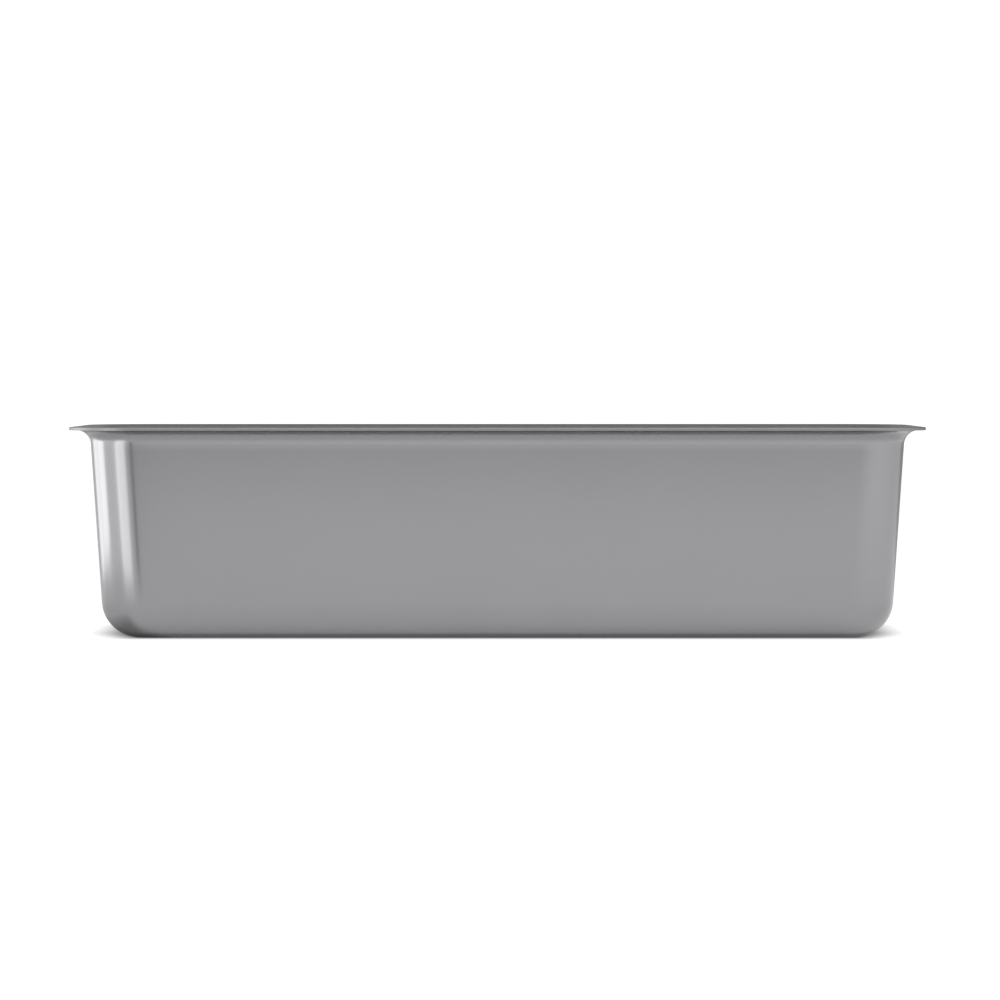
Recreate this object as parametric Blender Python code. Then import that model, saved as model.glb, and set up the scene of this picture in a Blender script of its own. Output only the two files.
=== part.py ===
"""Loaf pan, drawn from one sheet of steel, with a non-stick lining.

Metres, +Z up. X runs along the pan, Y across it. The origin is the middle of
the base, on the surface that the pan stands on.

Both pieces follow the outer skin of the pan, each at its own depths below it.
The skin is described once, in skin(), by a section that is carried round the
plan of the pan.
"""

from math import atan, cos, pi, radians, sin, tan

import bmesh
import bpy
from mathutils import Vector

# Outside sizes, over the rim.
PAN_LENGTH = 0.280
PAN_WIDTH = 0.110
PAN_HEIGHT = 0.069

# The section: how far the walls flare, and the radii that join them to the
# base and to the flat rim. All are measured on the outer skin.
WALL_FLARE = radians(3.5)
BASE_RADIUS = 0.0124
RIM_RADIUS = 0.0048
RIM_FLAT = 0.0023

# The rounded upright corners, the same radius from top to bottom.
CORNER_RADIUS = 0.015

# Sheet, film, and the gap that keeps the two meshes apart.
SHEET_THICKNESS = 0.0007
LINING_GAP = 0.0002
LINING_THICKNESS = 0.0001
LINING_SETBACK = 0.0003

# How finely the round stretches are divided.
CORNER_STEPS = 8
BASE_STEPS = 6
RIM_STEPS = 5

# An edge sharper than this stays an edge when the sheet is shaded smooth.
SHARP_EDGE = radians(40)

SATIN_STEEL = (0.305, 0.305, 0.312, 1.0)
STEEL_METALLIC = 1.0
STEEL_ROUGHNESS = 0.3
LINING_GREY = (0.285, 0.285, 0.29, 1.0)
LINING_METALLIC = 0.9
LINING_ROUGHNESS = 0.35

WALL_THICKNESS = SHEET_THICKNESS + LINING_GAP + LINING_THICKNESS
RIM_UNDERSIDE = PAN_HEIGHT - WALL_THICKNESS


def local_flare(turn):
    """Slope of the wall at a plan angle: it is steepest in the corners,
    because there both walls lean outwards at once."""
    return atan(tan(WALL_FLARE) * (cos(turn) + sin(turn)))


def corner_centre(height):
    """Plan centre of the corner's arc, which moves outwards with height."""
    rim_centre = RIM_UNDERSIDE - RIM_RADIUS
    rim_start = rim_centre + RIM_RADIUS * sin(WALL_FLARE)
    reach = CORNER_RADIUS + RIM_RADIUS * cos(WALL_FLARE) + RIM_FLAT
    flare = (height - rim_start) * tan(WALL_FLARE)
    return Vector((PAN_LENGTH / 2 - reach + flare, PAN_WIDTH / 2 - reach + flare, 0))


def skin(turn):
    """Section of the outer skin at one plan angle of the first corner, from
    the flat base to the edge of the rim, as pairs of point and normal."""
    outward = Vector((cos(turn), sin(turn), 0))
    up = Vector((0, 0, 1))
    flare = local_flare(turn)
    section = []

    foot = BASE_RADIUS * (1 - sin(flare))
    reach = CORNER_RADIUS - BASE_RADIUS * cos(flare)
    centre = corner_centre(foot) + outward * reach + up * BASE_RADIUS
    for step in range(BASE_STEPS + 1):
        angle = (pi / 2 - flare) * step / BASE_STEPS
        normal = outward * sin(angle) - up * cos(angle)
        section.append((centre + normal * BASE_RADIUS, normal))

    top = RIM_UNDERSIDE - RIM_RADIUS * (1 - sin(flare))
    reach = CORNER_RADIUS + RIM_RADIUS * cos(flare)
    centre = corner_centre(top) + outward * reach + up * (RIM_UNDERSIDE - RIM_RADIUS)
    for step in range(RIM_STEPS + 1):
        angle = flare + (pi / 2 - flare) * step / RIM_STEPS
        normal = outward * cos(angle) - up * sin(angle)
        section.append((centre - normal * RIM_RADIUS, normal))

    section.append((centre + up * RIM_RADIUS + outward * RIM_FLAT, -up))
    return section


def round_the_plan(section_at):
    """Carry a corner's points round all four corners, counter-clockwise."""
    turns = [pi / 2 * step / CORNER_STEPS for step in range(CORNER_STEPS + 1)]
    first = [section_at(turn) for turn in turns]
    corners = [(1, 1), (-1, 1), (-1, -1), (1, -1)]
    rows = []
    for index, (side_x, side_y) in enumerate(corners):
        arc = first if index % 2 == 0 else first[::-1]
        for points in arc:
            rows.append([Vector((p.x * side_x, p.y * side_y, p.z)) for p in points])
    return rows


def shell_rows(depth_out, depth_in, setback):
    """Closed section of a sheet that lies between two depths below the skin,
    at every place round the pan: up its outside, then down its inside."""
    def section_at(turn):
        outward = Vector((cos(turn), sin(turn), 0))
        points = skin(turn)
        outside = [point - normal * depth_out for point, normal in points]
        inside = [point - normal * depth_in for point, normal in points]
        outside[-1] -= outward * setback
        inside[-1] -= outward * setback
        return outside + inside[::-1]
    return round_the_plan(section_at)


def build_shell(name, depth_out, depth_in, setback, material):
    """Join the sections into one closed sheet and add it to the scene."""
    sheet = bmesh.new()
    rows = [[sheet.verts.new(p) for p in row] for row in shell_rows(depth_out, depth_in, setback)]
    rings = list(zip(*rows))
    for lower, upper in zip(rings, rings[1:]):
        for place in range(len(lower)):
            beyond = (place + 1) % len(lower)
            sheet.faces.new((lower[place], lower[beyond], upper[beyond], upper[place]))
    sheet.faces.new(reversed(rings[0]))
    sheet.faces.new(rings[-1])
    bmesh.ops.recalc_face_normals(sheet, faces=sheet.faces)

    mesh = bpy.data.meshes.new(name)
    sheet.to_mesh(mesh)
    sheet.free()
    mesh.materials.append(material)
    mesh.shade_smooth()
    mesh.set_sharp_from_angle(angle=SHARP_EDGE)
    piece = bpy.data.objects.new(name, mesh)
    bpy.context.scene.collection.objects.link(piece)
    return piece


def metal(name, colour, metallic, roughness):
    material = bpy.data.materials.new(name)
    material.use_nodes = True
    shader = material.node_tree.nodes["Principled BSDF"]
    shader.inputs["Base Color"].default_value = colour
    shader.inputs["Metallic"].default_value = metallic
    shader.inputs["Roughness"].default_value = roughness
    return material


def satin_steel():
    return metal("satin_steel", SATIN_STEEL, STEEL_METALLIC, STEEL_ROUGHNESS)


def lining_coat():
    return metal("lining_coat", LINING_GREY, LINING_METALLIC, LINING_ROUGHNESS)


def build_pan_shell():
    """The drawn sheet: base, walls, corners and rim in one piece."""
    return build_shell("pan_shell", 0.0, SHEET_THICKNESS, 0.0, satin_steel())


def build_nonstick_lining():
    """The film over the inside and the top of the rim, which stops just
    short of the rim's cut edge."""
    depth = SHEET_THICKNESS + LINING_GAP
    return build_shell("nonstick_lining", depth, WALL_THICKNESS, LINING_SETBACK, lining_coat())


def main():
    for leftover in list(bpy.data.objects):
        bpy.data.objects.remove(leftover, do_unlink=True)
    build_pan_shell()
    build_nonstick_lining()


main()
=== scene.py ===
# %% [markdown]
# # A loaf pan drawn from one sheet
#
# The real pan starts as a flat blank of sheet steel. A punch presses it into a
# die in one stroke, so base, walls, corners and rim are one skin with no seam,
# and the rim is then trimmed square. A thin non-stick film is baked onto the
# inside and over the top of the rim. This lesson makes those two pieces with
# Geometry Nodes, gives them their metals, and stands the pan in a small studio.
#
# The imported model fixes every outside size, so it is loaded first and measured.

# %% Load the fixed frame
from math import atan, atan2, cos, degrees, hypot, pi, radians, sin, tan

import bpy
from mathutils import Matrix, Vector


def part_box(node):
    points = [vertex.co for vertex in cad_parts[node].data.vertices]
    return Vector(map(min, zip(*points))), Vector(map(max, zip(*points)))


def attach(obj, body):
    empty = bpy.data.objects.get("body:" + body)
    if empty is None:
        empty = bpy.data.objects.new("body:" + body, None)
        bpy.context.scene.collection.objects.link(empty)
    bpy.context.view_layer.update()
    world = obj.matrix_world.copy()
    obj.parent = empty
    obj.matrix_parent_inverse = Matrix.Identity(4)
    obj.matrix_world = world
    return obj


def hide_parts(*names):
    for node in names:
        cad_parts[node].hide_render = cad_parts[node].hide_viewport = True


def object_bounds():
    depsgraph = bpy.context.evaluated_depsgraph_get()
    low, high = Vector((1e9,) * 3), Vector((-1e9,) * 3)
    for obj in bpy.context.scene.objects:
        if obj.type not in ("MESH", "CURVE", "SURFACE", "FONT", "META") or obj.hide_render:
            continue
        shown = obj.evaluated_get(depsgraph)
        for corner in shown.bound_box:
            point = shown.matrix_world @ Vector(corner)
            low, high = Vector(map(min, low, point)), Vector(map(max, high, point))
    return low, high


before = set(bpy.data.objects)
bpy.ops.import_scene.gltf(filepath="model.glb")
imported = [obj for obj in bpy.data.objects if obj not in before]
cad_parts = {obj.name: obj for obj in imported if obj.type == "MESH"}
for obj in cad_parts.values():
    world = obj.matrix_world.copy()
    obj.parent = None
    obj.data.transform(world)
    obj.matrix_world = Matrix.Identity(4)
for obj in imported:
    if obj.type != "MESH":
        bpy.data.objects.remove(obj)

CAD_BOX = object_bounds()
LOW, HIGH = CAD_BOX
LENGTH, WIDTH, HEIGHT = (HIGH[axis] - LOW[axis] for axis in range(3))
FILM_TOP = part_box("nonstick_lining")[1][2]
print(f"pan over the rim: {LENGTH:.4f} x {WIDTH:.4f} m, {HEIGHT:.4f} m high")
print(f"the film's top lies at {FILM_TOP:.4f} m")


# %% [markdown]
# ## Node trees written as sums
#
# Both the shape and the finishes are node trees, and both are mostly
# arithmetic. Placing Math nodes one by one hides the formula that they make up.
# So a small class wraps a socket and adds the Math node that each Python
# operator stands for. Every other node comes from one method, which sets the
# node's own settings first, because they decide which sockets it has.

# %% A wire that does arithmetic
class Wire:
    """An output socket that can be used in a Python expression."""

    def __init__(self, bench, socket):
        self.bench = bench
        self.socket = socket

    def __add__(self, other):
        return self.bench.maths("ADD", self, other)

    def __sub__(self, other):
        return self.bench.maths("SUBTRACT", self, other)

    def __mul__(self, other):
        return self.bench.maths("MULTIPLY", self, other)

    def __truediv__(self, other):
        return self.bench.maths("DIVIDE", self, other)

    def __mod__(self, other):
        return self.bench.maths("FLOORED_MODULO", self, other)

    def __gt__(self, other):
        return self.bench.maths("GREATER_THAN", self, other)

    def __lt__(self, other):
        return self.bench.maths("LESS_THAN", self, other)

    def __radd__(self, other):
        return self.bench.maths("ADD", other, self)

    def __rsub__(self, other):
        return self.bench.maths("SUBTRACT", other, self)

    def __rmul__(self, other):
        return self.bench.maths("MULTIPLY", other, self)

    def __rtruediv__(self, other):
        return self.bench.maths("DIVIDE", other, self)


# %% A bench that makes nodes
class Bench:
    """Adds nodes to one tree, for a shape or for a finish."""

    def __init__(self, tree):
        self.tree = tree

    def node(self, kind, settings=None, **sockets):
        """A node with its settings, then its sockets' values or links.
        A socket is named by its identifier, with spaces as underscores."""
        made = self.tree.nodes.new(kind)
        for name, value in (settings or {}).items():
            setattr(made, name, value)
        for name, value in sockets.items():
            self.plug(made, name, value)
        return made

    def plug(self, node, name, value):
        wanted = {name, name.replace("_", " ")}
        socket = next(s for s in node.inputs if s.identifier in wanted)
        if isinstance(value, Wire):
            self.tree.links.new(value.socket, socket)
        else:
            socket.default_value = value

    def wire(self, kind, settings=None, out=0, **sockets):
        return Wire(self, self.node(kind, settings, **sockets).outputs[out])

    def maths(self, operation, first, second=0.0):
        return self.wire("ShaderNodeMath", {"operation": operation}, Value=first, Value_001=second)

    def between(self, low, high, share):
        """A number that goes from low to high as share goes from 0 to 1."""
        return self.wire("ShaderNodeMix", {"clamp_factor": True},
                         Factor_Float=share, A_Float=low, B_Float=high)


print("a Wire knows the operators + - * / % > <, and a Bench adds the nodes")


# %% [markdown]
# ## The section of the sheet
#
# A cut across the pan shows the same line everywhere: flat base, a generous
# base radius, a wall that leans out a few degrees so that the loaf lets go, a
# tight radius that turns the sheet outwards, and a short flat rim. The upright
# corners keep one radius from top to bottom, because the punch has straight
# ridges there, so it is their centres that move outwards as the pan opens.

# %% Sizes of the section
WALL_FLARE = radians(3.5)
BASE_RADIUS = 0.0124
RIM_RADIUS = 0.0048
RIM_FLAT = 0.0023
CORNER_RADIUS = 0.015
SHEET_AND_FILM = 0.001
MM = 1000

print(f"wall leans {degrees(WALL_FLARE):.1f} degrees, sheet and film {SHEET_AND_FILM * MM:.1f} mm")


# %% [markdown]
# ## Named inputs for the tree
#
# The same tree makes both pieces: the sheet lies between two depths below the
# pan's outer skin, and the film between two others. So every size is a named
# input of the tree, and a modifier fills them in for one piece.

# %% The tree and its inputs
def new_skin_tree():
    tree = bpy.data.node_groups.new("drawn_sheet", "GeometryNodeTree")
    sizes = ("Length", "Width", "Rim underside", "Wall flare", "Corner radius", "Base radius",
             "Rim radius", "Rim flat", "Outer depth", "Inner depth", "Edge setback", "Edge ease")
    for input_name in sizes:
        tree.interface.new_socket(input_name, in_out="INPUT", socket_type="NodeSocketFloat")
    tree.interface.new_socket("Finish", in_out="INPUT", socket_type="NodeSocketMaterial")
    tree.interface.new_socket("Sheet", in_out="OUTPUT", socket_type="NodeSocketGeometry")
    return tree


skin_tree = new_skin_tree()
bench = Bench(skin_tree)
group_in = skin_tree.nodes.new("NodeGroupInput")
size = {socket.name: Wire(bench, socket) for socket in group_in.outputs if socket.name}
print("the drawn sheet's inputs:", ", ".join(size))


# %% [markdown]
# ## Walking round the plan
#
# Each strip of skin is a grid whose columns go once round the pan. A block of
# columns belongs to each corner: the arc itself, and one more column a little
# way along the straight on either side. Those two hold the shading of the flat
# walls flat, because a smooth-shaded vertex on the end of an arc leans a little,
# and without them that lean would spread along the whole wall.

# %% Plan position of a column
QUARTER_TURN = pi / 2
CORNERS = 4
CORNER_STEPS = 28
LEAD_COLUMNS = 1
LEAD = 0.0012
BLOCK = LEAD_COLUMNS + CORNER_STEPS + 1 + LEAD_COLUMNS
COLUMNS = CORNERS * BLOCK + 1
HALF = 0.5

index = bench.wire("GeometryNodeInputIndex")
column = index % COLUMNS
row = bench.maths("FLOOR", index / COLUMNS)
corner = bench.maths("FLOOR", column / BLOCK)
place = column % BLOCK
share_of_arc = bench.between(0.0, 1.0, (place - LEAD_COLUMNS) / CORNER_STEPS)
turn = (corner + share_of_arc) * QUARTER_TURN
before_arc = place < LEAD_COLUMNS - HALF
after_arc = place > LEAD_COLUMNS + CORNER_STEPS + HALF
slide = (after_arc - before_arc) * LEAD
across, along = bench.maths("COSINE", turn), bench.maths("SINE", turn)
middle = (corner + HALF) * QUARTER_TURN
side_x = bench.maths("SIGN", bench.maths("COSINE", middle))
side_y = bench.maths("SIGN", bench.maths("SINE", middle))
print(f"{COLUMNS - 1} columns go round the pan, and one more closes the ring")


# %% [markdown]
# ## Where the wall leans most
#
# In a corner both walls lean at once, so the skin leans more there than on the
# straights. The base and rim radii have to meet the wall at exactly that local
# slope, or a faint crease would run along the corner where they join.

# %% The wall's slope, and the corner's centre at any height
slope = bench.maths("TANGENT", size["Wall flare"])
both_ways = bench.maths("ABSOLUTE", across) + bench.maths("ABSOLUTE", along)
flare = bench.maths("ARCTANGENT", slope * both_ways)
sin_flare, cos_flare = bench.maths("SINE", flare), bench.maths("COSINE", flare)
plain_sin = bench.maths("SINE", size["Wall flare"])
plain_cos = bench.maths("COSINE", size["Wall flare"])
rim_centre = size["Rim underside"] - size["Rim radius"]
rim_start = rim_centre + size["Rim radius"] * plain_sin
overhang = size["Corner radius"] + size["Rim radius"] * plain_cos + size["Rim flat"]


def point(centre_height, reach, height):
    """A point that lies reach away from its corner's centre. The centre is
    taken at the height where this stretch of skin meets the wall."""
    shift = (centre_height - rim_start) * slope - overhang
    centre_x = (size["Length"] / 2 + shift) * side_x
    centre_y = (size["Width"] / 2 + shift) * side_y
    return bench.wire("ShaderNodeCombineXYZ",
                      X=centre_x + reach * across - slide * along,
                      Y=centre_y + reach * along + slide * across,
                      Z=height)


EIGHTH_TURN = QUARTER_TURN / 2
steepest = atan(tan(WALL_FLARE) * (cos(EIGHTH_TURN) + sin(EIGHTH_TURN)))
print(f"in the middle of a corner the wall leans {degrees(steepest):.1f} degrees")


# %% [markdown]
# ## The two radii
#
# A sheet of even thickness has two parallel faces, and an arc's parallel is an
# arc with the same centre. So each radius is one formula with a depth in it:
# at the base the inner face has the smaller radius, at the rim the larger one.

# %% Base radius and rim radius
foot_height = size["Base radius"] * (1 - sin_flare)
foot_reach = size["Corner radius"] - size["Base radius"] * cos_flare
rim_foot = size["Rim underside"] - size["Rim radius"] * (1 - sin_flare)
rim_reach = size["Corner radius"] + size["Rim radius"] * cos_flare


def base_arc(angle, depth):
    """Angle 0 is the flat base, and a right angle less the flare is the wall."""
    radius = size["Base radius"] - depth
    return point(foot_height, foot_reach + radius * bench.maths("SINE", angle),
                 size["Base radius"] - radius * bench.maths("COSINE", angle))


def rim_arc(angle, depth):
    """The flare is the wall, and a right angle is the flat rim."""
    radius = size["Rim radius"] + depth
    return point(rim_foot, rim_reach - radius * bench.maths("COSINE", angle),
                 rim_centre + radius * bench.maths("SINE", angle))


VECTOR_RESULT = 1


def blend_points(start, end, share):
    """A point on the straight line from start to end."""
    return bench.wire("ShaderNodeMix", {"data_type": "VECTOR"}, out=VECTOR_RESULT,
                      Factor_Float=share, A_Vector=start, B_Vector=end)


print(f"radii of the outer skin: base {BASE_RADIUS * MM:.1f} mm, rim {RIM_RADIUS * MM:.1f} mm")


# %% [markdown]
# ## Strips of skin
#
# Each stretch of the section becomes one strip: a grid bent into place by its
# formula. The flat base closes on a short spine along its middle, so it needs
# no long thin fan of triangles.
#
# Where the sheet turns out tightly into the rim it takes the most stretch, and
# there it is rougher; it is also painted darker there, a painted shade under the
# rim. So the strip of the rim radius carries a named attribute, which goes from
# 0 to 1 and back, for the finish to read.

# %% A strip, and the spine of the base
def strip(steps, formula, outside, mark=None, amount=1.0):
    """A strip with its faces turned out, and a mark for its finish to read."""
    grid = bench.wire("GeometryNodeMeshGrid", Vertices_X=steps + 1, Vertices_Y=COLUMNS)
    bent = bench.wire("GeometryNodeSetPosition", Geometry=grid, Position=formula(row / steps))
    if outside:
        bent = bench.wire("GeometryNodeFlipFaces", Mesh=bent)
    if mark is None:
        return bent
    return bench.wire("GeometryNodeStoreNamedAttribute", {"data_type": "FLOAT", "domain": "POINT"},
                      Geometry=bent, Name=mark, Value=amount)


def spine_point(height):
    half_spine = (size["Length"] - size["Width"]) / 2
    return bench.wire("ShaderNodeCombineXYZ", X=half_spine * side_x, Y=0.0, Z=height)


print("a strip has", COLUMNS, "columns, and as many rows as its stretch of the section needs")


# %% One face of the sheet, from the middle of the base to the rim
FLAT_STEPS, BASE_STEPS, WALL_STEPS, RIM_STEPS = 6, 20, 24, 12
# Where the painted shade and the stretch of the rim radius rise and fall.
SHADE_AND_STRETCH_START, SHADE_AND_STRETCH_RISE = 0.14, 0.1
SHADE_AND_STRETCH_END, SHADE_AND_STRETCH_FALL = 0.5, 0.2


def rim_shade_and_stretch_mark():
    """1 where the rim radius takes the most stretch and painted shade, and 0 at both of its ends."""
    turned = row / RIM_STEPS
    rise = bench.between(0, 1, (turned - SHADE_AND_STRETCH_START) / SHADE_AND_STRETCH_RISE)
    fall = bench.between(1, 0, (turned - SHADE_AND_STRETCH_END) / SHADE_AND_STRETCH_FALL)
    return rise * fall


def face_of_sheet(depth, outside):
    """The strips of one face, in the order of the section."""
    upright = QUARTER_TURN - flare
    rim_length = size["Rim flat"] - size["Edge setback"] - size["Edge ease"]
    rim_height = size["Rim underside"] + depth
    wall_foot, wall_top = base_arc(upright, depth), rim_arc(flare, depth)
    flat_edge = base_arc(0.0, depth)
    return [
        strip(FLAT_STEPS, lambda t: blend_points(spine_point(depth), flat_edge, t), outside),
        strip(BASE_STEPS, lambda t: base_arc(upright * t, depth), outside),
        strip(WALL_STEPS, lambda t: blend_points(wall_foot, wall_top, t), outside),
        strip(RIM_STEPS, lambda t: rim_arc(flare + upright * t, depth), outside,
              "rim_shade_and_stretch", rim_shade_and_stretch_mark()),
        strip(FLAT_STEPS, lambda t: point(rim_foot, rim_reach + rim_length * t, rim_height), outside),
    ]


print(f"{FLAT_STEPS + BASE_STEPS + WALL_STEPS + RIM_STEPS + FLAT_STEPS} rows make one face")


# %% [markdown]
# ## The trimmed edge
#
# A press cuts the rim square, but no cut edge is perfectly sharp. Two tiny arcs
# with a flat between them make it, and each catches a thin line of light. These
# strips carry a mark too, because a sheared edge is rougher than the sheet.

# %% The cut face of the rim
EASE_STEPS = 4


def trimmed_edge(outer, inner):
    """The cut face of the rim, with both of its corners slightly eased."""
    ease = size["Edge ease"]
    lip = rim_reach + size["Rim flat"] - size["Edge setback"]
    low = size["Rim underside"] + outer + ease
    high = size["Rim underside"] + inner - ease

    def lower_corner(t):
        bend = t * QUARTER_TURN
        return point(rim_foot, lip - ease + ease * bench.maths("SINE", bend),
                     low - ease * bench.maths("COSINE", bend))

    def upper_corner(t):
        bend = t * QUARTER_TURN
        return point(rim_foot, lip - ease + ease * bench.maths("COSINE", bend),
                     high + ease * bench.maths("SINE", bend))

    def cut_face(t):
        return point(rim_foot, lip, bench.between(low, high, t))

    return [strip(EASE_STEPS, formula, True, "cut_edge")
            for formula in (lower_corner, cut_face, upper_corner)]


print(f"the cut edge is made with {EASE_STEPS} rows to each of its three strips")


# %% [markdown]
# ## Closing the sheet
#
# The strips only touch, so they are joined and welded: that closes the seam
# where the columns come round, the spine of the base, and every line where two
# strips meet. What comes out is one closed sheet with a finish on it.

# %% Join, weld and finish
WELD = 0.000001

strips = face_of_sheet(size["Outer depth"], outside=True)
strips += trimmed_edge(size["Outer depth"], size["Inner depth"])
strips += face_of_sheet(size["Inner depth"], outside=False)

joined = bench.node("GeometryNodeJoinGeometry")
for piece in strips:
    skin_tree.links.new(piece.socket, joined.inputs[0])
all_strips = Wire(bench, joined.outputs[0])
welded = bench.wire("GeometryNodeMergeByDistance", Geometry=all_strips, Distance=WELD)
smooth = bench.wire("GeometryNodeSetShadeSmooth", Geometry=welded)
real = bench.wire("GeometryNodeRealizeInstances", Geometry=smooth)
finished = bench.wire("GeometryNodeSetMaterial", Geometry=real, Material=size["Finish"])
group_out = skin_tree.nodes.new("NodeGroupOutput")
skin_tree.links.new(finished.socket, group_out.inputs["Sheet"])
print(f"{len(strips)} strips make one sheet")


# %% [markdown]
# ## Tools for the finishes
#
# Every finish starts as an empty tree. Noise gives it grain, and its size is
# easier to think about in metres than as a scale, so a helper turns one into
# the other. Noise lies round one half, and another helper makes it swing round
# nothing, so that it can be added to a value without changing its average.

# %% Helpers for the finishes
GRAIN_DETAIL = 2.0
OBJECT_COORDINATES = 3
COLOUR_RESULT = 2


def new_finish(name):
    material = bpy.data.materials.new(name)
    material.use_nodes = True
    material.node_tree.nodes.clear()
    return material, Bench(material.node_tree)


def grain(bench, coordinates, size_m):
    """Noise whose blobs are about size_m across."""
    return bench.wire("ShaderNodeTexNoise", Vector=coordinates, Scale=1 / size_m, Detail=GRAIN_DETAIL)


def swing(noise, amount):
    """Noise from 0 to 1 as a change of half the amount down or up."""
    return (noise - HALF) * amount


def grey_between(bench, dark, light, share):
    """A colour that goes from dark to light as share goes from 0 to 1."""
    return bench.wire("ShaderNodeMix", {"data_type": "RGBA"}, out=COLOUR_RESULT,
                      Factor_Float=share, A_Color=dark, B_Color=light)


print("helpers for the finishes: new_finish, grain, swing and grey_between")


# %% [markdown]
# ## The outside metal
#
# The sheet is steel with a satin, silver-grey finish. It isn't brushed: it has
# no direction, only a fine even grain like that of a bead-blasted part, which
# spreads every reflection a little. Base Color is what a metal reflects, so it
# carries the grey, and the grain goes into the roughness and a very shallow
# bump. The rim radius is rougher where it took the most stretch, and is painted
# darker there as painted shade under the rim. The trimmed edge is darker and
# rougher, and has no bump: its lit line is too thin to break up.

# %% Satin steel
STEEL_DARK = (0.29, 0.29, 0.297, 1)
STEEL_LIGHT = (0.32, 0.32, 0.327, 1)
# The darker grey of the painted shade under the rim, also used for the darker trimmed edge.
STEEL_RIM_SHADE_AND_EDGE = (0.262, 0.262, 0.269, 1)
STEEL_GRAIN, STEEL_CLOUD = 0.0004, 0.03
STEEL_ROUGHNESS = 0.21
GRAIN_ROUGHNESS, CLOUD_ROUGHNESS = 0.06, 0.02
TRIMMED_ROUGHNESS, STRETCHED_ROUGHNESS = 0.24, 0.06
STEEL_METALLIC = 1.0
GRAIN_HEIGHT = 0.00002
BUMP_STRENGTH = 0.04
ATTRIBUTE_NUMBER = 2


def mark_on_sheet(bench, name):
    """A number that the strips of the sheet carry, as a finish reads it."""
    return bench.wire("ShaderNodeAttribute", {"attribute_name": name}, out=ATTRIBUTE_NUMBER)


def satin_steel():
    material, bench = new_finish("satin_steel")
    at = bench.wire("ShaderNodeTexCoord", out=OBJECT_COORDINATES)
    fine = grain(bench, at, STEEL_GRAIN)
    cloud = grain(bench, at, STEEL_CLOUD)
    trimmed = mark_on_sheet(bench, "cut_edge")
    rim_shade_and_stretch = mark_on_sheet(bench, "rim_shade_and_stretch")

    plain = grey_between(bench, STEEL_DARK, STEEL_LIGHT, (fine + cloud) / 2)
    # Painted shade darkens the rim radius, and the trimmed edge is darker too.
    colour = grey_between(bench, plain, STEEL_RIM_SHADE_AND_EDGE, rim_shade_and_stretch + trimmed)
    roughness = STEEL_ROUGHNESS + swing(fine, GRAIN_ROUGHNESS) + swing(cloud, CLOUD_ROUGHNESS)
    roughness = roughness + trimmed * TRIMMED_ROUGHNESS + rim_shade_and_stretch * STRETCHED_ROUGHNESS
    normal = bench.wire("ShaderNodeBump", Strength=BUMP_STRENGTH, Distance=GRAIN_HEIGHT,
                        Height=fine * (1 - trimmed))
    shader = bench.wire("ShaderNodeBsdfPrincipled", Base_Color=colour, Metallic=STEEL_METALLIC,
                        Roughness=roughness, Normal=normal)
    bench.node("ShaderNodeOutputMaterial", Surface=shader)
    return material


steel = satin_steel()
print("made the finish", steel.name)


# %% [markdown]
# ## The film
#
# Non-stick film is a paint with metal flake in it, baked on. It spreads light
# more than the sheet outside, and a close look shows single flakes. A Voronoi
# texture gives every small cell its own random brightness, which is what flakes
# lying at slightly different angles look like.

# %% Baked non-stick film
FILM_DARK = (0.25, 0.25, 0.255, 1)
FILM_LIGHT = (0.32, 0.32, 0.325, 1)
FLAKE_SIZE, SKIN_SIZE = 0.0006, 0.004
FLAKE_SHADE, SKIN_SHADE = 0.6, 0.3
FILM_ROUGHNESS, FLAKE_ROUGHNESS = 0.33, 0.1
FILM_METALLIC = 0.9
SKIN_HEIGHT = 0.00004
CELL_COLOUR = 1


def baked_film():
    material, bench = new_finish("baked_film")
    at = bench.wire("ShaderNodeTexCoord", out=OBJECT_COORDINATES)
    flakes = bench.wire("ShaderNodeTexVoronoi", out=CELL_COLOUR, Vector=at, Scale=1 / FLAKE_SIZE)
    flake = bench.wire("ShaderNodeSeparateColor", Color=flakes)
    skin = grain(bench, at, SKIN_SIZE)

    shade = HALF + swing(flake, FLAKE_SHADE) + swing(skin, SKIN_SHADE)
    colour = grey_between(bench, FILM_DARK, FILM_LIGHT, shade)
    roughness = FILM_ROUGHNESS + swing(flake, FLAKE_ROUGHNESS)
    normal = bench.wire("ShaderNodeBump", Strength=BUMP_STRENGTH, Distance=SKIN_HEIGHT, Height=skin)
    shader = bench.wire("ShaderNodeBsdfPrincipled", Base_Color=colour, Metallic=FILM_METALLIC,
                        Roughness=roughness, Normal=normal)
    bench.node("ShaderNodeOutputMaterial", Surface=shader)
    return material


film_finish = baked_film()
print("made the finish", film_finish.name)


# %% [markdown]
# ## Making the two pieces
#
# A modifier holds the tree's inputs under the sockets' identifiers, so a small
# function looks those up by name. The result is then taken as a plain mesh,
# because the modifier has done its work and a finished piece is easier to use.

# %% Run the tree for one piece
def link(thing):
    bpy.context.scene.collection.objects.link(thing)
    return thing


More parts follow.
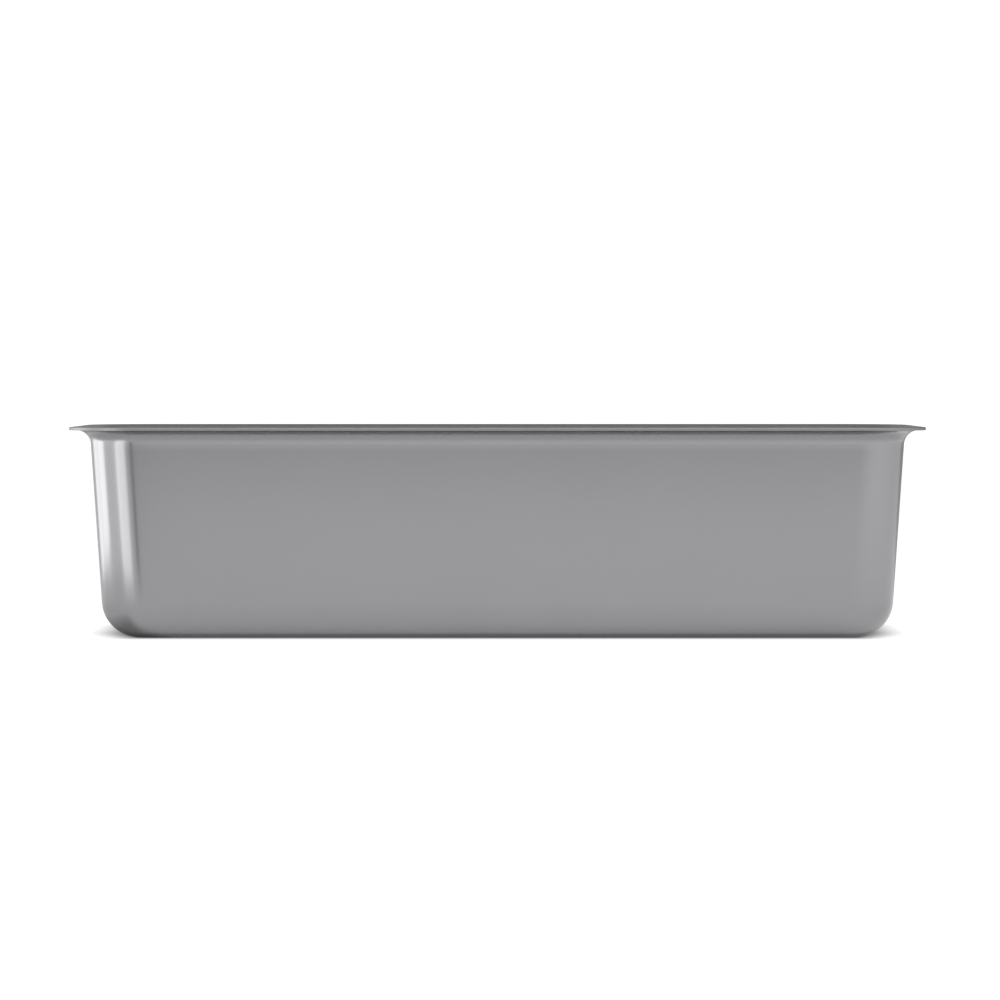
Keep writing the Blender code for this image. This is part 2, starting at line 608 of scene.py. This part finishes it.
def drawn_piece(name, finish, **sizes):
    holder = link(bpy.data.objects.new(name + "_nodes", bpy.data.meshes.new(name)))
    modifier = holder.modifiers.new("drawn sheet", "NODES")
    modifier.node_group = skin_tree
    values = {"Length": LENGTH, "Width": WIDTH, "Rim underside": HEIGHT - SHEET_AND_FILM,
              "Wall flare": WALL_FLARE, "Corner radius": CORNER_RADIUS, "Base radius": BASE_RADIUS,
              "Rim radius": RIM_RADIUS, "Rim flat": RIM_FLAT, "Finish": finish}
    values.update({key.replace("_", " "): value for key, value in sizes.items()})
    for item in skin_tree.interface.items_tree:
        if item.in_out == "INPUT":
            modifier[item.identifier] = values[item.name]
    evaluated = holder.evaluated_get(bpy.context.evaluated_depsgraph_get())
    mesh = bpy.data.meshes.new_from_object(evaluated)
    bpy.data.objects.remove(holder)
    print(f"{name}: {len(mesh.polygons)} faces, {len(mesh.vertices)} vertices")
    return link(bpy.data.objects.new(name, mesh))


# %% [markdown]
# ## The sheet
#
# Depth counts inwards from the pan's outer skin. The sheet starts at that skin
# and ends where the film begins, and its rim edge is the widest part of the pan.

# %% The drawn sheet
FILM = 0.00004
EDGE_EASE = 0.00015

drawn_pan = drawn_piece("drawn_pan", steel, Outer_depth=0.0, Inner_depth=SHEET_AND_FILM - FILM,
                        Edge_setback=0.0, Edge_ease=EDGE_EASE)
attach(drawn_pan, "root")
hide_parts("pan_shell")


# %% [markdown]
# ## The film on it
#
# The film covers the inside and the top of the rim, and stops just short of the
# cut edge. A few thousandths of a millimetre of air are left under it, because
# two faces in exactly the same place would flicker.

# %% The baked film
FILM_GAP = 0.1 * FILM
FILM_SETBACK = 0.0003
FILM_EDGE_EASE = 0.00001

inside_film = drawn_piece("inside_film", film_finish, Outer_depth=SHEET_AND_FILM - FILM + FILM_GAP,
                          Inner_depth=SHEET_AND_FILM, Edge_setback=FILM_SETBACK,
                          Edge_ease=FILM_EDGE_EASE)
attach(inside_film, "root")
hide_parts("nonstick_lining")


# %% [markdown]
# ## The paper
#
# The pan stands on pale paper, and its long wall leans outwards, so it mirrors
# what lies on the floor in front of it. In a product picture the paper itself is
# burnt out to white, and only a thin contact shadow is left beside the base. So
# rays from the camera and all other rays get two different papers. The first is
# for the camera: white, with a painted contact shadow where the foot of the pan is near.

# %% Where the foot of the pan stands
SHADOW_START, SHADOW_LENGTH = 0.0025, 0.0187
SHALLOW = 0.55
THINNING = 6.5


def foot_half(rim_size):
    """Half of the flat base, from the size over the rim."""
    lean = (HEIGHT - RIM_RADIUS - BASE_RADIUS) * tan(WALL_FLARE)
    return rim_size / 2 - RIM_FLAT - RIM_RADIUS - lean - BASE_RADIUS


FOOT_X, FOOT_Y = foot_half(LENGTH), foot_half(WIDTH)
print(f"the flat of the base is {2 * FOOT_X * MM:.0f} x {2 * FOOT_Y * MM:.0f} mm")


# %% Painted contact shadow
def eased(bench, share):
    """A number from 0 to 1 with a soft start and a soft end: 3hh - 2hhh."""
    held = bench.between(0, 1, share)
    return held * held * (3 - 2 * held)


def painted_contact_light(bench, x, y):
    """How light the paper is painted beside the foot, a painted contact shadow:
    none against it. The painted shadow thins out towards the front, where the key shines in."""
    past_x = bench.maths("MAXIMUM", bench.maths("ABSOLUTE", x) - FOOT_X, 0)
    past_y = bench.maths("MAXIMUM", bench.maths("ABSOLUTE", y) - FOOT_Y, 0) * SHALLOW
    in_front = bench.maths("MAXIMUM", -1 * y, 0)
    away = bench.maths("SQRT", past_x * past_x + past_y * past_y) + in_front * in_front * THINNING
    return eased(bench, (away - SHADOW_START) / SHADOW_LENGTH)


print(f"the contact shadow is gone {(SHADOW_START + SHADOW_LENGTH) * MM:.0f} mm from the foot")


# %% [markdown]
# ## The pan's own shade
#
# The key stands a little to the right, so the pan shades the paper beside its
# left end. The metal mirrors that patch low in its near left corner. A smooth
# patch from a formula is used rather than the lamp's own shadow, because it can
# be put exactly where the corner looks.

# %% Shade beside the left end
SHADE_DEPTH = 0.5
SHADE_FRONT = 0.008
RISE_START, RISE_LENGTH, RISE_SLANT = -0.006, 0.011, 1.5
FALL_START, FALL_LENGTH, FALL_SLANT = 0.006, 0.014, 0.3


def left_shade(bench, x, y):
    """How dark the paper is: it darkens outwards from the end, then clears."""
    out = -1 * x - FOOT_X
    back = y + FOOT_Y + SHADE_FRONT
    rise = eased(bench, (out + back * RISE_SLANT - RISE_START) / RISE_LENGTH)
    fall = bench.between(1, 0, (out - back * FALL_SLANT - FALL_START) / FALL_LENGTH)
    return rise * fall * SHADE_DEPTH


print(f"the shade starts {SHADE_FRONT * MM:.0f} mm in front of the foot's line")


# %% [markdown]
# ## The paper that the metal sees
#
# It is a diffuse sheet that ends in front of the pan, on a darker table. The
# lower part of the wall mirrors the paper and the upper part the table, and the
# end is blurred, so that the change is soft. A real studio also throws light
# about that a few lamps don't give. So the paper glows a little, most on the
# right, and hardly at all against the foot.

# %% The paper's two looks
PAPER_TONE = (0.78, 0.78, 0.785, 1)
TABLE_TONE = (0.43, 0.43, 0.435, 1)
PAPER_FRONT = 0.36
EDGE_BLUR = 0.1
FOOT_FILL, PAPER_FILL, RIGHT_FILL = 0.07, 0.26, 0.41
FILL_RISE_START, FILL_RISE_LENGTH = 0.13, 0.2
WHITE = (1.05, 1.05, 1.05, 1)
PAINTED_SHADOW_TONE = (0.05, 0.05, 0.05, 1)
NEUTRAL = (1, 1, 1, 1)
BLACK = (0, 0, 0, 1)


def mirrored_paper(bench, x, y, lit):
    """The lit paper, then the table, with the pan's shade on it."""
    beyond_edge = bench.between(0, 1, (-WIDTH / 2 - PAPER_FRONT - y) / EDGE_BLUR + HALF)
    tone = grey_between(bench, PAPER_TONE, TABLE_TONE, beyond_edge)
    paper = bench.wire("ShaderNodeBsdfDiffuse", Color=tone)
    open_fill = bench.between(PAPER_FILL, RIGHT_FILL, (x - FILL_RISE_START) / FILL_RISE_LENGTH)
    # Painted shade: the paper's glow fades near the foot with the painted contact shadow.
    fill_level = bench.between(FOOT_FILL, open_fill, lit)
    fill = bench.wire("ShaderNodeEmission", Color=NEUTRAL, Strength=fill_level)
    bright = bench.wire("ShaderNodeAddShader", Shader=paper, Shader_001=fill)
    shade = bench.wire("ShaderNodeBsdfDiffuse", Color=BLACK)
    return bench.wire("ShaderNodeMixShader", Fac=left_shade(bench, x, y),
                      Shader=bright, Shader_001=shade)


def floor_paper():
    material, bench = new_finish("floor_paper")
    at = bench.wire("ShaderNodeTexCoord", out=OBJECT_COORDINATES)
    spot = bench.node("ShaderNodeSeparateXYZ", Vector=at)
    x, y = Wire(bench, spot.outputs[0]), Wire(bench, spot.outputs[1])
    # Painted contact shadow: the camera sees white paper, painted dark near the foot by a formula.
    lit = painted_contact_light(bench, x, y)
    white_with_painted_shadow = bench.wire("ShaderNodeEmission", Color=grey_between(bench, PAINTED_SHADOW_TONE, WHITE, lit))
    from_camera = bench.wire("ShaderNodeLightPath")
    shader = bench.wire("ShaderNodeMixShader", Fac=from_camera,
                        Shader=mirrored_paper(bench, x, y, lit), Shader_001=white_with_painted_shadow)
    bench.node("ShaderNodeOutputMaterial", Surface=shader)
    return material


print(f"the paper ends {PAPER_FRONT:.2f} m in front of the rim")


# %% Lay the floor
FLOOR_HALF = 3.0


def flat_panel(name, corners, material):
    mesh = bpy.data.meshes.new(name)
    mesh.from_pydata(corners, [], [(0, 1, 2, 3)])
    mesh.materials.append(material)
    return link(bpy.data.objects.new(name, mesh))


round_the_floor = ((-1, -1), (1, -1), (1, 1), (-1, 1))
floor = flat_panel("floor", [(FLOOR_HALF * x, FLOOR_HALF * y, 0) for x, y in round_the_floor],
                   floor_paper())
print(f"the floor is {2 * FLOOR_HALF:.0f} m wide")


# %% [markdown]
# ## The key
#
# A wide softbox stands in front, a little to the right: high enough to leave no
# long shadow, and low enough to light the paper right up to the foot of the
# pan, which keeps the base radius bright. An area lamp's power spreads over its
# face, so a helper works it out from how bright the face should look.

# %% Key softbox
WATTS_PER_BRIGHTNESS = pi
KEY_AT = Vector((0.1, -0.8, 0.79))
KEY_AIM = Vector((-0.06, -0.05, 0))
KEY_WIDE, KEY_TALL, KEY_BRIGHTNESS = 0.85, 0.25, 9.9


def softbox(name, at, aim, wide, tall, brightness):
    """A lamp that looks this bright, whatever its size."""
    light = bpy.data.lights.new(name, "AREA")
    light.shape = "RECTANGLE"
    light.size = wide
    light.size_y = tall
    light.energy = WATTS_PER_BRIGHTNESS * brightness * wide * tall
    lamp = link(bpy.data.objects.new(name, light))
    lamp.location = at
    lamp.rotation_euler = (aim - at).to_track_quat("-Z", "Y").to_euler()
    lamp.visible_camera = False
    return lamp


softbox("key_softbox", KEY_AT, KEY_AIM, KEY_WIDE, KEY_TALL, KEY_BRIGHTNESS)
level_distance = hypot(KEY_AT.x - KEY_AIM.x, KEY_AT.y - KEY_AIM.y)
print(f"the key stands {degrees(atan2(KEY_AT.z, level_distance)):.0f} degrees above the paper")


# %% [markdown]
# ## Drawing the corner with light
#
# Rounded metal shows its shape only by what it mirrors. Two tall strips stand
# close to the left end, where the upright corner looks, and draw it with two
# light bands, and a card between them gives a dimmer one. They are placed by
# bearing and distance from the corner's centre, because that is how a round
# corner sees them. They give no diffuse light, so the paper doesn't change.

# %% Strips beside the corner
STRIP_HEIGHT = 0.4
STRIP_LIFT = 0.004
CORNER_AT = Vector((-LENGTH / 2 + CORNER_RADIUS, -WIDTH / 2 + CORNER_RADIUS, 0))
# name, bearing in degrees, distance, width and brightness
SIDE_LAMPS = (("outer_strip", 112, 0.15, 0.133, 1.72),
              ("inner_strip", 36, 0.08, 0.0385, 1.3),
              ("left_card", 76, 0.1, 0.127, 0.42))


def beside_corner(bearing, distance, height):
    """A place as seen from the near left corner: 0 degrees is straight in
    front of the pan, and 90 is straight off its left end."""
    angle = radians(bearing)
    return CORNER_AT + Vector((-distance * sin(angle), -distance * cos(angle), height))


for name, bearing, distance, wide, brightness in SIDE_LAMPS:
    centre = beside_corner(bearing, distance, STRIP_HEIGHT / 2 + STRIP_LIFT)
    aim = CORNER_AT + Vector((0, 0, centre.z))
    side_lamp = softbox(name, centre, aim, wide, STRIP_HEIGHT, brightness)
    side_lamp.visible_diffuse = False
    print(f"{name} stands {distance * MM:.0f} mm from the corner, {wide * MM:.0f} mm wide")


# %% [markdown]
# ## A grey flag
#
# Between the wall and the first light band the corner has one darker line. A
# narrow flag, which stands in front of the corner, is mirrored there in place of
# the bright paper. Its pan side would get almost no light, so its cloth glows
# evenly instead of being lit.

# %% Grey flag
FLAG_BEARING, FLAG_DISTANCE, FLAG_WIDTH = 7.5, 0.11, 0.0127
FLAG_GLOW = 0.36


def grey_cloth():
    material, bench = new_finish("grey_cloth")
    shader = bench.wire("ShaderNodeEmission", Color=NEUTRAL, Strength=FLAG_GLOW)
    bench.node("ShaderNodeOutputMaterial", Surface=shader)
    return material


flag_foot = beside_corner(FLAG_BEARING, FLAG_DISTANCE, 0)
flag_angle = radians(FLAG_BEARING)
flag_half = Vector((cos(flag_angle), -sin(flag_angle), 0)) * FLAG_WIDTH / 2
flag_up = Vector((0, 0, STRIP_HEIGHT))
flag = flat_panel("grey_flag", [flag_foot - flag_half, flag_foot + flag_half,
                                flag_foot + flag_half + flag_up, flag_foot - flag_half + flag_up],
                  grey_cloth())
flag.visible_camera = flag.visible_diffuse = flag.visible_shadow = False
print(f"the flag is {FLAG_WIDTH * MM:.1f} mm wide")


# %% [markdown]
# ## The room
#
# Past the floor the metal mirrors the room, which is lightest in front on the
# right and darkest at the back. The camera sees plain white there.

# %% Surround
ROOM_TINT = (1, 1, 1.005, 1)
FRONT_LEVEL, RIGHT_LEVEL, BACK_LEVEL, SEEN_LEVEL = 0.5, 1.3, 0.3, 1.1
RIGHT_GAIN, RIGHT_OFFSET = 1.6, 0.1
BACK_GAIN = 1.3


def studio_surround():
    world = bpy.data.worlds.new("studio")
    world.use_nodes = True
    world.node_tree.nodes.clear()
    bench = Bench(world.node_tree)
    direction = bench.wire("ShaderNodeTexCoord")
    towards = bench.node("ShaderNodeSeparateXYZ", Vector=direction)
    right, back = Wire(bench, towards.outputs[0]), Wire(bench, towards.outputs[1])
    front = bench.between(FRONT_LEVEL, RIGHT_LEVEL, right * RIGHT_GAIN - RIGHT_OFFSET)
    room = bench.between(front, BACK_LEVEL, back * BACK_GAIN)
    from_camera = bench.wire("ShaderNodeLightPath")
    level = bench.between(room, SEEN_LEVEL, from_camera)
    shader = bench.wire("ShaderNodeBackground", Color=ROOM_TINT, Strength=level)
    bench.node("ShaderNodeOutputWorld", Surface=shader)
    return world


bpy.context.scene.world = studio_surround()
bpy.context.scene.view_settings.view_transform = "Standard"
print("the room is called", bpy.context.scene.world.name)


# %% [markdown]
# ## The camera
#
# A long lens from far away draws the near and the far wall almost the same
# size, as a catalogue picture does. It stands a finger's width above the rim,
# so only a thin strip of the top shows, and looks down by less than two degrees.

# %% Camera
SENSOR_MM, LENS_MM = 36, 157.0
EYE_DISTANCE, EYE_ABOVE_RIM = 1.404, 0.0173
LOOK_DOWN, LOOK_RIGHT = radians(1.654), 0.00057


def level_camera():
    lens = bpy.data.cameras.new("camera")
    lens.sensor_width = SENSOR_MM
    lens.lens = LENS_MM
    eye = link(bpy.data.objects.new("camera", lens))
    eye.location = (0, -(WIDTH / 2 + EYE_DISTANCE), HEIGHT + EYE_ABOVE_RIM)
    eye.rotation_euler = (QUARTER_TURN - LOOK_DOWN, 0, -LOOK_RIGHT)
    return eye


bpy.context.scene.camera = level_camera()
print(f"the camera stands {EYE_ABOVE_RIM * MM:.0f} mm above the rim")
